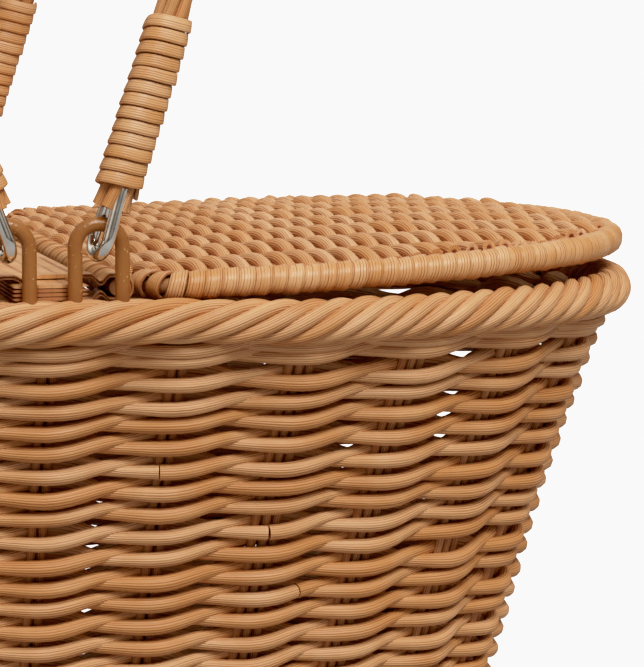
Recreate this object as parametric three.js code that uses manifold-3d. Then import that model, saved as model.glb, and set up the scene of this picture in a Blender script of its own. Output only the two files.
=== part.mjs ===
// Oval lidded picnic basket with two swing handles, in millimetres.
// The origin is on the floor under the middle of the basket; +Z is up, X runs along the length
// and the front of the basket faces -Y.
import * as THREE from 'three';
import { mergeVertices } from 'three/addons/utils/BufferGeometryUtils.js';
import Module from 'manifold-3d';

const wasm = await Module();
wasm.setup();

// Driving dimensions.
const clearance = 0.3;
const ovalPower = 2.57;

const rimHalfLength = 202;
const rimHalfWidth = 130;
const rimHeight = 192;
const rimRadius = 8;

const wallThickness = 10;
const wallValleyThickness = 4.8;
const wallStep = 2;
const wallFootSlope = 0.19;
const wallLipSlope = 0.24;
const wallLipReach = 80;
const wallLevels = 4;
const wallLevelPower = 1.3;

const stakeGroups = 28;
const stakeWidth = 9;
const stakeThickness = 3;

const footHeight = 11;
const matThickness = 8;

const stapleOffset = 13.5;
const stapleWireRadius = 2.15;
const stapleHalfSpan = 6.9;
const stapleRise = 23.5;
const stapleSink = 6;

const crossbarHalfWidth = 11.3;
const crossbarThickness = 4.6;
const crossbarBindingThickness = 1.3;
const crossbarSeatGap = 0.35;

const hingeOffset = 21.2;
const hingeStickRadius = 2.5;
const hingeStickSetback = 11;
const hingeRunningGap = 0.4;
const hingeLoopThickness = 1.6;
const hingeLoopWidth = 8;
const hingeLoopSetback = 13;
const hingeLoopSlotPlace = 7.25;

const lidOverhang = 0.2;
const lidSideSetback = 6.8;
const hingeStickRise = 0.25;
const lidRise = 1.45;
const lidFrameRadius = 2.25;
const lidBindingRadius = 4.25;
const lidBindingStart = 6.8;
const lidWeaveThickness = 8.2;
const lidWeaveValleyThickness = 4.6;
const lidRibSpacing = 26;
const lidRibsBesideMiddle = 4;
const lidWeaveHingeEdge = 3.6;
const lidCrown = 5;
const lidCornerSetback = 24.5;
const lidCornerBend = [[0, 0], [2.5, 0], [6.5, 4], [7.5, 10], [10.5, 15]];
const lidBowStart = 16;
const lidBowSetback = 1;
const lidBowTurn = 79;
const lidWeaveTurns = [73, 9];
const lidWeaveCornerSetback = 8.05;
const lidWeaveCornerLength = 7;
const lidWeaveCornerSlope = 2.1;

const ringWireRadius = 1.9;
const ringEyeRadius = 5;
const ringTopRadius = 3.1;
const ringBelowBend = 2.2;
const ringReach = 20.8;
const ringLean = 18.3;
const ringButtGap = 0.5;

const handleLean = 18.3;
const handleReedRadius = 5.2;
const handleHeight = 167;
const handleEnd = 9;
const handleBendStart = 10;
const handlePower = 2.3;
const rockLimits = [-5, 5];

const wrapStart = 4.8;
const wrapTurns = 13;
const wrapPitch = 3.85;
const wrapBandWidth = 3.1;
const wrapBandThickness = 0.9;
const wrapInnerRadius = 5.95;
const wrapSteps = 8;

const reed = new THREE.MeshStandardMaterial({ color: 0xc2925f, roughness: 0.6, metalness: 0 });
const innerReed = new THREE.MeshStandardMaterial({ color: 0x9a6a3f, roughness: 0.7, metalness: 0 });
const cane = new THREE.MeshStandardMaterial({ color: 0x8a5a34, roughness: 0.6, metalness: 0 });
const coatedWire = new THREE.MeshStandardMaterial({ color: 0xa07042, roughness: 0.45, metalness: 0 });
const platedWire = new THREE.MeshStandardMaterial({ color: 0xb4b6b8, roughness: 0.2, metalness: 1 });

const basket = new THREE.Group();

const radians = (degrees) => (degrees * Math.PI) / 180;

function place(parent, name, geometry, material) {
  const mesh = new THREE.Mesh(geometry, material.clone());
  mesh.name = name;
  parent.add(mesh);
  return mesh;
}

function circle(radius, sides) {
  const points = [];
  for (let i = 0; i < sides; i += 1) {
    const turn = (2 * Math.PI * i) / sides;
    points.push(new THREE.Vector2(radius * Math.cos(turn), radius * Math.sin(turn)));
  }
  return points;
}

// A tube along a smooth curve through the points, with an optional bore.
function tube(points, radius, sides, steps, bore = 0, boreSides = 6) {
  const section = new THREE.Shape(circle(radius, sides));
  if (bore > 0) {
    section.holes.push(new THREE.Path(circle(bore, boreSides)));
  }
  const path = new THREE.CatmullRomCurve3(points, false, 'centripetal');
  return new THREE.ExtrudeGeometry(section, { steps, bevelEnabled: false, extrudePath: path });
}

function solid(geometry) {
  const bare = geometry.clone();
  bare.deleteAttribute('normal');
  bare.deleteAttribute('uv');
  const merged = mergeVertices(bare, 1e-4);
  const mesh = new wasm.Mesh({
    numProp: 3,
    vertProperties: new Float32Array(merged.attributes.position.array),
    triVerts: new Uint32Array(merged.index.array),
  });
  return new wasm.Manifold(mesh);
}

function geometryOf(manifold) {
  const mesh = manifold.getMesh();
  const geometry = new THREE.BufferGeometry();
  geometry.setAttribute('position', new THREE.BufferAttribute(new Float32Array(mesh.vertProperties), 3));
  geometry.setIndex(new THREE.BufferAttribute(new Uint32Array(mesh.triVerts), 1));
  geometry.computeVertexNormals();
  return geometry;
}

function signedVolume(positions, index) {
  const corners = [new THREE.Vector3(), new THREE.Vector3(), new THREE.Vector3()];
  let volume = 0;
  for (let i = 0; i < index.length; i += 3) {
    corners.forEach((corner, k) => corner.fromArray(positions, 3 * index[i + k]));
    volume += corners[0].dot(corners[1].cross(corners[2])) / 6;
  }
  return volume;
}

// Skins a row of equal-sized outlines: closed into a ring, or with a flat cap at each end.
function loft(rings, closed = false) {
  const size = rings[0].length;
  const positions = rings.flat().flatMap((point) => [point.x, point.y, point.z]);
  const index = [];
  const spans = closed ? rings.length : rings.length - 1;
  for (let i = 0; i < spans; i += 1) {
    const here = i * size;
    const next = ((i + 1) % rings.length) * size;
    for (let j = 0; j < size; j += 1) {
      const k = (j + 1) % size;
      index.push(here + j, here + k, next + k, here + j, next + k, next + j);
    }
  }
  if (!closed) {
    const lastRing = (rings.length - 1) * size;
    for (const [start, flip] of [[0, true], [lastRing, false]]) {
      const middle = new THREE.Vector3();
      rings[start / size].forEach((point) => middle.addScaledVector(point, 1 / size));
      positions.push(middle.x, middle.y, middle.z);
      const centre = positions.length / 3 - 1;
      for (let j = 0; j < size; j += 1) {
        const k = (j + 1) % size;
        index.push(centre, ...(flip ? [start + k, start + j] : [start + j, start + k]));
      }
    }
  }
  if (signedVolume(positions, index) < 0) {
    index.reverse();
  }
  const geometry = new THREE.BufferGeometry();
  geometry.setAttribute('position', new THREE.Float32BufferAttribute(positions, 3));
  geometry.setAttribute('uv', new THREE.Float32BufferAttribute(new Float32Array(positions.length / 3 * 2), 2));
  geometry.setIndex(index);
  geometry.computeVertexNormals();
  return geometry;
}

function ovalPoint(halfLength, halfWidth, turn) {
  const across = Math.cos(turn);
  const along = Math.sin(turn);
  const bend = 2 / ovalPower;
  return new THREE.Vector2(
    halfLength * Math.sign(across) * Math.abs(across) ** bend,
    halfWidth * Math.sign(along) * Math.abs(along) ** bend,
  );
}

// Turns of the oval at equal steps along the rim, starting at a part of a step from the front.
function rimTurns(flats, start) {
  const samples = 4000;
  const turns = [];
  const lengths = [0];
  let last = ovalPoint(rimHalfLength, rimHalfWidth, -Math.PI / 2);
  for (let i = 0; i <= samples; i += 1) {
    const turn = -Math.PI / 2 + (2 * Math.PI * i) / samples;
    const point = ovalPoint(rimHalfLength, rimHalfWidth, turn);
    turns.push(turn);
    if (i > 0) {
      lengths.push(lengths[i - 1] + point.distanceTo(last));
    }
    last = point;
  }
  const picked = [];
  for (let j = 0; j < flats; j += 1) {
    const wanted = (((j + start + flats) % flats) / flats) * lengths[samples];
    const i = lengths.findIndex((length) => length >= wanted);
    picked.push(turns[i]);
  }
  return picked;
}

const stapleBendHeight = rimHeight + stapleRise;
const stapleLegFoot = rimHeight - stapleSink;
const crossbarBottom = rimHeight + rimRadius + crossbarSeatGap;
const crossbarHeight = crossbarBottom + crossbarThickness / 2;
const lidHeight = crossbarHeight + hingeStickRise;
const hingeStickHalfLength = rimHalfWidth - hingeStickSetback;
const hingeLoopPlace = rimHalfWidth - hingeLoopSetback;
const lidHalfLength = rimHalfLength + lidOverhang;
const lidHalfWidth = rimHalfWidth - lidSideSetback;
const lidCornerPlace = rimHalfWidth - lidCornerSetback;

const flatTurns = rimTurns(2 * stakeGroups, -0.5);
const valleyTurns = rimTurns(stakeGroups, 0.5);
const wallTop = rimRadius + clearance;
const wallBottom = rimHeight - footHeight - clearance;

function wallInset(depth) {
  return wallStep + wallFootSlope * depth + wallLipSlope * wallLipReach * (1 - Math.exp(-depth / wallLipReach));
}

function wallDepth(level) {
  return wallTop + (wallBottom - wallTop) * (level / wallLevels) ** wallLevelPower;
}

function wallPoint(turn, depth, offset) {
  const inset = wallInset(depth) - offset;
  const point = ovalPoint(rimHalfLength - inset, rimHalfWidth - inset, turn);
  return new THREE.Vector3(point.x, point.y, rimHeight - depth);
}

function wallUpright(turn, thickness) {
  const ring = [];
  for (let level = 0; level <= wallLevels; level += 1) {
    ring.push(wallPoint(turn, wallDepth(level), thickness / 2));
  }
  for (let level = wallLevels; level >= 0; level -= 1) {
    ring.push(wallPoint(turn, wallDepth(level), -thickness / 2));
  }
  return ring;
}

// The weave swells on both faces where it crosses a stake, and is thin halfway between two stakes.
function wallShell() {
  const rings = [];
  for (let stake = 0; stake < stakeGroups; stake += 1) {
    rings.push(wallUpright(flatTurns[2 * stake], wallThickness));
    rings.push(wallUpright(flatTurns[2 * stake + 1], wallThickness));
    rings.push(wallUpright(valleyTurns[stake], wallValleyThickness));
  }
  return loft(rings, true);
}

// A strip down the middle of the wall at one stake, as wide and thick as asked.
function wallStrip(stake, width, thickness, overrun) {
  const startTurn = flatTurns[2 * stake];
  const endTurn = flatTurns[2 * stake + 1];
  const depths = [wallTop - overrun];
  for (let level = 0; level <= wallLevels; level += 1) {
    depths.push(wallDepth(level));
  }
  depths.push(wallBottom + overrun);
  const used = overrun > 0 ? depths : depths.slice(1, -1);
  const rings = used.map((depth) => {
    const ring = [];
    for (const [across, out] of [[-0.5, -0.5], [0.5, -0.5], [0.5, 0.5], [-0.5, 0.5]]) {
      const start = wallPoint(startTurn, depth, out * thickness);
      const end = wallPoint(endTurn, depth, out * thickness);
      const share = 0.5 + (across * width) / start.distanceTo(end);
      ring.push(start.lerp(end, share));
    }
    return ring;
  });
  return loft(rings);
}

function makeWall() {
  let wall = solid(wallShell());
  const wide = stakeWidth + 2 * clearance;
  const thick = stakeThickness + 2 * clearance;
  for (let stake = 0; stake < stakeGroups; stake += 1) {
    wall = wall.subtract(solid(wallStrip(stake, wide, thick, 1)));
    const label = String(stake + 1).padStart(2, '0');
    place(basket, `stake_${label}`, wallStrip(stake, stakeWidth, stakeThickness, 0), innerReed);
  }
  place(basket, 'wall_weave', geometryOf(wall), reed);
}

// A rolled border with eight flats, one of them level on top and one below.
function borderRing(halfLength, halfWidth, height, halfSize) {
  const corner = halfSize / Math.cos(Math.PI / 8);
  const rings = flatTurns.map((turn) => {
    const ring = [];
    for (let side = 0; side < 8; side += 1) {
      const angle = Math.PI / 8 + (side * Math.PI) / 4;
      const out = corner * Math.cos(angle);
      const point = ovalPoint(halfLength + out, halfWidth + out, turn);
      ring.push(new THREE.Vector3(point.x, point.y, height + corner * Math.sin(angle)));
    }
    return ring;
  });
  return loft(rings, true);
}

function stapleFeet() {
  const feet = [];
  for (const x of [-stapleOffset, stapleOffset]) {
    for (const y of [-rimHalfWidth, rimHalfWidth]) {
      feet.push([x - stapleHalfSpan, y], [x + stapleHalfSpan, y]);
    }
  }
  return feet;
}

function makeRim() {
  let rim = solid(borderRing(rimHalfLength, rimHalfWidth, rimHeight, rimRadius));
  const holeTop = rimHeight + 2 * rimRadius;
  const holeFoot = stapleLegFoot - clearance;
  for (const [x, y] of stapleFeet()) {
    const hole = new THREE.CylinderGeometry(
      stapleWireRadius + 1.5 * clearance,
      stapleWireRadius + 1.5 * clearance,
      holeTop - holeFoot,
      8,
    );
    hole.rotateX(Math.PI / 2);
    hole.translate(x, y, (holeTop + holeFoot) / 2);
    rim = rim.subtract(solid(hole));
  }
  place(basket, 'rim_border', geometryOf(rim), reed);
}

function makeBase() {
  const inset = wallInset(wallBottom);
  const footLength = rimHalfLength - inset;
  const footWidth = rimHalfWidth - inset;
  const footRadius = footHeight / 2;
  place(basket, 'foot_border', borderRing(footLength, footWidth, footRadius, footRadius), reed);
  const edge = footRadius + clearance;
  const outline = flatTurns.map((turn) => ovalPoint(footLength - edge, footWidth - edge, turn));
  const mat = new THREE.ExtrudeGeometry(new THREE.Shape(outline), { depth: matThickness, bevelEnabled: false });
  place(basket, 'base_mat', mat, reed);
}

function rectangle(halfWidth, halfHeight) {
  return [
    new THREE.Vector2(-halfWidth, -halfHeight),
    new THREE.Vector2(halfWidth, -halfHeight),
    new THREE.Vector2(halfWidth, halfHeight),
    new THREE.Vector2(-halfWidth, halfHeight),
  ];
}

// Turns an outline drawn across the basket into a piece of the given length centred at y.
function extrudeAlongY(shape, length, y) {
  const geometry = new THREE.ExtrudeGeometry(shape, { depth: length, bevelEnabled: false });
  geometry.rotateX(Math.PI / 2);
  geometry.translate(0, y + length / 2, 0);
  return geometry;
}

const crossbarHalfLength = rimHalfWidth - stapleWireRadius - 2 * clearance;
const loopInnerHalfHeight = hingeStickRadius + hingeRunningGap;

function makeCrossbar() {
  const slat = new THREE.BoxGeometry(2 * crossbarHalfWidth, 2 * crossbarHalfLength, crossbarThickness);
  slat.translate(0, 0, crossbarHeight);
  let core = solid(slat);
  for (const x of [-hingeLoopSlotPlace, hingeLoopSlotPlace]) {
    for (const y of [-hingeLoopPlace, hingeLoopPlace]) {
      const slot = new THREE.BoxGeometry(
        hingeLoopThickness + 2 * clearance,
        hingeLoopWidth + 2 * clearance,
        2 * crossbarThickness,
      );
      slot.translate(x, y, crossbarHeight);
      core = core.subtract(solid(slot));
    }
  }
  place(basket, 'crossbar_core', geometryOf(core), cane);

  const boreWidth = crossbarHalfWidth + clearance;
  const boreHeight = crossbarThickness / 2 + clearance;
  const wide = boreWidth + crossbarBindingThickness;
  const high = boreHeight + crossbarBindingThickness;
  const corner = 0.7 * crossbarBindingThickness;
  const outline = new THREE.Shape([
    new THREE.Vector2(-wide + corner, -high),
    new THREE.Vector2(wide - corner, -high),
    new THREE.Vector2(wide, -high + corner),
    new THREE.Vector2(wide, high - corner),
    new THREE.Vector2(wide - corner, high),
    new THREE.Vector2(-wide + corner, high),
    new THREE.Vector2(-wide, high - corner),
    new THREE.Vector2(-wide, -high + corner),
  ]);
  outline.holes.push(new THREE.Path(rectangle(boreWidth, boreHeight)));
  const length = 2 * (hingeLoopPlace - hingeLoopWidth / 2 - clearance);
  const binding = extrudeAlongY(outline, length, 0);
  binding.translate(0, 0, crossbarHeight);
  place(basket, 'crossbar_binding', binding, reed);
}

// A reed loop through the crossbar's slot and round the lid's hinge stick.
function hingeLoop(y) {
  const left = hingeLoopSlotPlace - hingeLoopThickness / 2;
  const innerLeft = hingeLoopSlotPlace + hingeLoopThickness / 2;
  const outer = new THREE.Shape();
  const inner = new THREE.Path();
  const outerRadius = loopInnerHalfHeight + hingeLoopThickness;
  outer.moveTo(left, outerRadius);
  outer.lineTo(left, -outerRadius);
  outer.lineTo(hingeOffset, -outerRadius);
  outer.absarc(hingeOffset, 0, outerRadius, -Math.PI / 2, Math.PI / 2, false);
  inner.moveTo(innerLeft, loopInnerHalfHeight);
  inner.lineTo(innerLeft, -loopInnerHalfHeight);
  inner.lineTo(hingeOffset, -loopInnerHalfHeight);
  inner.absarc(hingeOffset, 0, loopInnerHalfHeight, -Math.PI / 2, Math.PI / 2, false);
  outer.holes.push(inner);
  const geometry = new THREE.ExtrudeGeometry(outer, {
    depth: hingeLoopWidth,
    bevelEnabled: false,
    curveSegments: 8,
  });
  geometry.rotateX(Math.PI / 2);
  geometry.translate(0, y + hingeLoopWidth / 2, lidHeight);
  return geometry;
}

// Centre line of the lid's bent frame rod, seen from the hinge stick, butting on it at both ends.
function lidFramePoints() {
  const start = hingeStickRadius + clearance;
  const corner = lidCornerBend.map(([along, out]) => [start + along, lidCornerPlace + out]);
  corner.push([start + lidBowStart, lidHalfWidth - lidBowSetback]);
  const front = corner.map(([x, y]) => new THREE.Vector3(x, -y, 0));
  const back = corner.map(([x, y]) => new THREE.Vector3(x, y, 0)).reverse();
  const bow = [];
  const steps = 22;
  const firstTurn = radians(-lidBowTurn);
  for (let i = 0; i <= steps; i += 1) {
    const turn = firstTurn - (2 * firstTurn * i) / steps;
    const point = ovalPoint(lidHalfLength, lidHalfWidth, turn);
    bow.push(new THREE.Vector3(point.x - hingeOffset, point.y, 0));
  }
  return [...front, ...bow, ...back];
}

// Outline of the woven panel inside the frame: its half width follows the bow and the corners.
function lidWeaveOutline() {
  const edge = lidBindingRadius + 2.2 * clearance;
  const reach = lidHalfLength - edge;
  const half = lidHalfWidth - edge;
  const cornerHalf = lidCornerPlace - lidWeaveCornerSetback;
  const cornerEdge = lidWeaveHingeEdge + lidWeaveCornerLength;
  const stations = [lidWeaveHingeEdge, cornerEdge, cornerEdge + 10];
  const steps = 9;
  for (let i = 0; i <= steps; i += 1) {
    const turn = radians(lidWeaveTurns[0] + ((lidWeaveTurns[1] - lidWeaveTurns[0]) * i) / steps);
    stations.push(ovalPoint(reach, half, turn).x - hingeOffset);
  }
  const front = stations.map((x) => {
    const bow = half * (1 - ((x + hingeOffset) / reach) ** ovalPower) ** (1 / ovalPower);
    const halfWidth = Math.min(bow, cornerHalf + lidWeaveCornerSlope * Math.max(0, x - cornerEdge));
    return new THREE.Vector2(x, -halfWidth);
  });
  const back = front.map((point) => new THREE.Vector2(point.x, -point.y)).reverse();
  return [...front, ...back];
}

// The crowned panel: it swells on both faces along each rib, and is thin halfway between two ribs.
function lidWeave() {
  const outline = lidWeaveOutline();
  const length = Math.max(...outline.map((point) => point.x));
  const half = Math.max(...outline.map((point) => point.y));
  const lines = 2 * lidRibsBesideMiddle + 2;
  const steps = 7;
  const rings = [];
  for (let i = -1; i <= steps + 1; i += 1) {
    const x = (length * (i + 0.25)) / steps;
    const lift = lidCrown * (1 - (2 * x / length - 1) ** 2);
    const top = [];
    const bottom = [];
    for (let j = -lines; j <= lines; j += 1) {
      const y = (j * lidRibSpacing) / 2;
      const crown = lift * (1 - (y / half) ** 2);
      const thickness = j % 2 === 0 ? lidWeaveThickness : lidWeaveValleyThickness;
      top.push(new THREE.Vector3(x, y, crown + thickness / 2));
      bottom.unshift(new THREE.Vector3(x, y, crown - thickness / 2));
    }
    rings.push([...top, ...bottom]);
  }
  const depth = 4 * (lidCrown + lidWeaveThickness);
  const prism = new THREE.ExtrudeGeometry(new THREE.Shape(outline), { depth, bevelEnabled: false });
  prism.translate(0, 0, -depth / 2);
  return geometryOf(solid(loft(rings)).intersect(solid(prism)));
}

function makeLid(parent, side) {
  const lid = new THREE.Group();
  lid.position.set(hingeOffset, 0, lidHeight);
  lid.rotation.y = -radians(lidRise);
  parent.add(lid);

  const stick = new THREE.CylinderGeometry(hingeStickRadius, hingeStickRadius, 2 * hingeStickHalfLength, 10);
  place(lid, `lid_hinge_stick_${side}`, stick, cane);

  const line = lidFramePoints();
  const steps = 46;
  place(lid, `lid_frame_${side}`, tube(line, lidFrameRadius, 6, steps), cane);

  const bore = lidFrameRadius + clearance / Math.cos(Math.PI / 6);
  const sleeve = solid(tube(line, lidBindingRadius, 8, steps, bore));
  const reach = lidBindingStart + 10;
  const ends = new THREE.BoxGeometry(reach, 2 * lidHalfWidth, 4 * lidBindingRadius);
  ends.translate(lidBindingStart - reach / 2, 0, 0);
  place(lid, `lid_binding_${side}`, geometryOf(sleeve.subtract(solid(ends))), reed);

  place(lid, `lid_weave_${side}`, lidWeave(), reed);
}

function staple() {
  const points = [];
  const foot = stapleLegFoot - stapleBendHeight;
  points.push(new THREE.Vector3(-stapleHalfSpan, 0, foot));
  points.push(new THREE.Vector3(-stapleHalfSpan, 0, foot / 2));
  const steps = 8;
  for (let i = 0; i <= steps; i += 1) {
    const turn = Math.PI - (Math.PI * i) / steps;
    points.push(new THREE.Vector3(stapleHalfSpan * Math.cos(turn), 0, stapleHalfSpan * Math.sin(turn)));
  }
  points.push(new THREE.Vector3(stapleHalfSpan, 0, foot / 2));
  points.push(new THREE.Vector3(stapleHalfSpan, 0, foot));
  return tube(points, stapleWireRadius, 6, 18);
}

function arcPoints(height, radius, from, to, steps) {
  const points = [];
  for (let i = 0; i <= steps; i += 1) {
    const turn = from + ((to - from) * i) / steps;
    points.push(new THREE.Vector3(0, radius * Math.cos(turn), height + radius * Math.sin(turn)));
  }
  return points;
}

// The three bends of a pear-shaped wire link whose eye hangs below height 0 by ringBelowBend, or of a
// line that runs outside or inside it by the growth given.
function ringBends(growth) {
  const eyeHeight = ringEyeRadius - ringBelowBend;
  const topHeight = ringReach - ringTopRadius;
  const tilt = Math.asin((ringEyeRadius - ringTopRadius) / (topHeight - eyeHeight));
  const open = ringButtGap / 2 / ringTopRadius;
  const down = arcPoints(topHeight, ringTopRadius + growth, Math.PI / 2 - open, tilt, 3);
  const eye = arcPoints(eyeHeight, ringEyeRadius + growth, tilt, -Math.PI - tilt, 8);
  const up = arcPoints(topHeight, ringTopRadius + growth, Math.PI - tilt, Math.PI / 2 + open, 3);
  return [down, eye, up];
}

function ringPoints() {
  const [down, eye, up] = ringBends(0);
  const middle = (a, b) => a.clone().lerp(b, 0.5);
  return [...down, middle(down[3], eye[0]), ...eye, middle(eye[8], up[0]), ...up];
}

function handlePoints() {
  const points = [];
  points.push(new THREE.Vector3(0, -rimHalfWidth, -handleEnd));
  points.push(new THREE.Vector3(0, -rimHalfWidth, 0));
  const steps = 16;
  for (let i = 0; i <= steps; i += 1) {
    const turn = (Math.PI * i) / steps;
    const across = Math.cos(turn);
    const up = Math.max(0, Math.sin(turn));
    const y = -rimHalfWidth * Math.sign(across) * Math.abs(across) ** (2 / handlePower);
    const z = handleBendStart + (handleHeight - handleBendStart) * up ** (2 / handlePower);
    points.push(new THREE.Vector3(0, y, z));
  }
  points.push(new THREE.Vector3(0, rimHalfWidth, 0));
  points.push(new THREE.Vector3(0, rimHalfWidth, -handleEnd));
  return points;
}

// Cuts a slot in the handle's end for the wire link, wide enough for its whole rocking range. What is
// left inside the link's eye ties the handle to it.
function cutRingSlot(reeds, y) {
  const lowest = ringLean - handleLean + rockLimits[0];
  const highest = ringLean - handleLean + rockLimits[1];
  const swing = radians((highest - lowest) / 2);
  const room = ringWireRadius + 1.3 * clearance;
  const flat = (bends) => bends.flat().map((point) => new THREE.Vector2(point.y, point.z - ringReach));
  const outline = new THREE.Shape(flat(ringBends(room)).reverse());
  outline.holes.push(new THREE.Path(flat(ringBends(-room))));
  const depth = 2 * (room + handleEnd * Math.sin(swing));
  const slot = new THREE.ExtrudeGeometry(outline, { depth, bevelEnabled: false });
  slot.translate(0, 0, -depth / 2);
  slot.rotateY(Math.PI / 2);
  slot.rotateX(Math.PI / 2);
  slot.rotateY(radians((lowest + highest) / 2));
  slot.translate(0, y, 0);
  return reeds.subtract(solid(slot));
}

function leastGap(rings, apart) {
  let least = Infinity;
  for (let i = 0; i < rings.length; i += 1) {
    for (let j = i + apart; j < rings.length; j += 1) {
      for (const here of rings[i]) {
        for (const there of rings[j]) {
          least = Math.min(least, here.distanceTo(there));
        }
      }
    }
  }
  return least;
}

// A flat band wound round the handle's end as one unbroken strip.
function wrapWinding(curve, length, fromEnd) {
  const rings = [];
  const count = wrapTurns * wrapSteps;
  const begin = handleEnd - wrapStart + wrapBandWidth / 2;
  const outward = new THREE.Vector3(1, 0, 0);
  for (let i = 0; i <= count; i += 1) {
    const along = (begin + (wrapPitch * i) / wrapSteps) / length;
    const share = fromEnd ? 1 - along : along;
    const middle = curve.getPointAt(share);
    const tangent = curve.getTangentAt(share);
    const side = new THREE.Vector3().crossVectors(tangent, outward);
    const turn = (2 * Math.PI * i) / wrapSteps;
    const radial = outward.clone().multiplyScalar(Math.cos(turn)).addScaledVector(side, Math.sin(turn));
    const ahead = outward.clone().multiplyScalar(-Math.sin(turn)).addScaledVector(side, Math.cos(turn));
    const straight = (i === count) - (i === 0);
    middle.addScaledVector(ahead, straight * wrapBandWidth);
    const ring = [];
    for (const [out, up] of [[0, -0.5], [1, -0.5], [1, 0.5], [0, 0.5]]) {
      const point = middle.clone().addScaledVector(radial, wrapInnerRadius + out * wrapBandThickness);
      ring.push(point.addScaledVector(tangent, up * wrapBandWidth));
    }
    rings.push(ring);
  }
  console.log(`least gap between the turns of a handle wrap: ${leastGap(rings, wrapSteps - 2).toFixed(2)} mm`);
  return loft(rings);
}

function makeHandle(parent, side, nearName, farName) {
  const lean = radians(handleLean);
  const ringTilt = radians(ringLean);
  const handle = new THREE.Group();
  const pivotX = stapleOffset + ringReach * Math.sin(ringTilt);
  const pivotZ = stapleBendHeight + ringReach * Math.cos(ringTilt);
  handle.position.set(pivotX, 0, pivotZ);
  handle.rotation.y = lean;
  parent.add(handle);

  const points = handlePoints();
  let reeds = solid(tube(points, handleReedRadius, 8, 28));
  reeds = cutRingSlot(reeds, -rimHalfWidth);
  reeds = cutRingSlot(reeds, rimHalfWidth);
  place(handle, `handle_reeds_${side}`, geometryOf(reeds), reed);

  const curve = new THREE.CatmullRomCurve3(points, false, 'centripetal');
  const length = curve.getLength();
  place(handle, `handle_wrap_${side}_${nearName}`, wrapWinding(curve, length, false), reed);
  place(handle, `handle_wrap_${side}_${farName}`, wrapWinding(curve, length, true), reed);

  for (const [y, end] of [[-rimHalfWidth, nearName], [rimHalfWidth, farName]]) {
    const ring = new THREE.Group();
    ring.position.set(stapleOffset, y, stapleBendHeight);
    ring.rotation.y = ringTilt;
    parent.add(ring);
    place(ring, `ring_${side}_${end}`, tube(ringPoints(), ringWireRadius, 6, 22), platedWire);

    const wire = place(parent, `staple_${side}_${end}`, staple(), coatedWire);
    wire.position.set(stapleOffset, y, stapleBendHeight);

    place(parent, `hinge_loop_${side}_${end}`, hingeLoop(Math.sign(y) * hingeLoopPlace), reed);
  }
}

// The left half is the right half turned half a turn about the upright axis.
function makeSide(side, turned, nearName, farName) {
  const half = new THREE.Group();
  half.rotation.z = turned;
  basket.add(half);
  makeLid(half, side);
  makeHandle(half, side, nearName, farName);
}

makeBase();
makeWall();
makeRim();
makeCrossbar();
makeSide('right', 0, 'front', 'back');
makeSide('left', Math.PI, 'back', 'front');

export default basket;
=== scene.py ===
import math
import bpy
import numpy as np
from mathutils import Matrix, Vector


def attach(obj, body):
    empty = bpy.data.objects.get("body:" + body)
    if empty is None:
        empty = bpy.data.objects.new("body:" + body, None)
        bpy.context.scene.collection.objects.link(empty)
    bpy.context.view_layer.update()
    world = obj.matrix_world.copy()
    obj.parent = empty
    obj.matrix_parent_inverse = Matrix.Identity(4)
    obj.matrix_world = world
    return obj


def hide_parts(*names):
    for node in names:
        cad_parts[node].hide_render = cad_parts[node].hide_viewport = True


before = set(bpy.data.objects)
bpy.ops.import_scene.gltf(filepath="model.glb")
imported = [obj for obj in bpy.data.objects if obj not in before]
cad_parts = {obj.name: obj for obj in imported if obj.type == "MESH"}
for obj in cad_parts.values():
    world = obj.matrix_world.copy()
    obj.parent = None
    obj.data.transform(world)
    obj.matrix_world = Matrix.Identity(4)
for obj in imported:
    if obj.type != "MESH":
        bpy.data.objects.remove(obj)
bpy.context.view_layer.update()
mm = 0.001


def operator(operation, swapped=False):  # what a sign such as + does between sockets
    def apply(self, other):
        items = (other, self) if swapped else (self, other)
        return self.bench.maths(operation, *items)
    return apply


# one socket of a node tree, usable in sums
class Wire:
    def __init__(self, bench, socket):
        self.bench = bench
        self.socket = socket

    def __getitem__(self, name):  # another output of the same node
        return Wire(self.bench, self.socket.node.outputs[name])

    def maths(self, operation, *items):
        return self.bench.maths(operation, self, *items)

    def bowed(self, power):  # the power of the size, with the sign kept
        return self.maths("SIGN") * self.maths("ABSOLUTE") ** power

    __add__, __radd__ = operator("ADD"), operator("ADD", True)
    __sub__, __rsub__ = operator("SUBTRACT"), operator("SUBTRACT", True)
    __mul__, __rmul__ = operator("MULTIPLY"), operator("MULTIPLY", True)
    __truediv__, __rtruediv__ = operator("DIVIDE"), operator("DIVIDE", True)
    __pow__ = operator("POWER")


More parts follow.
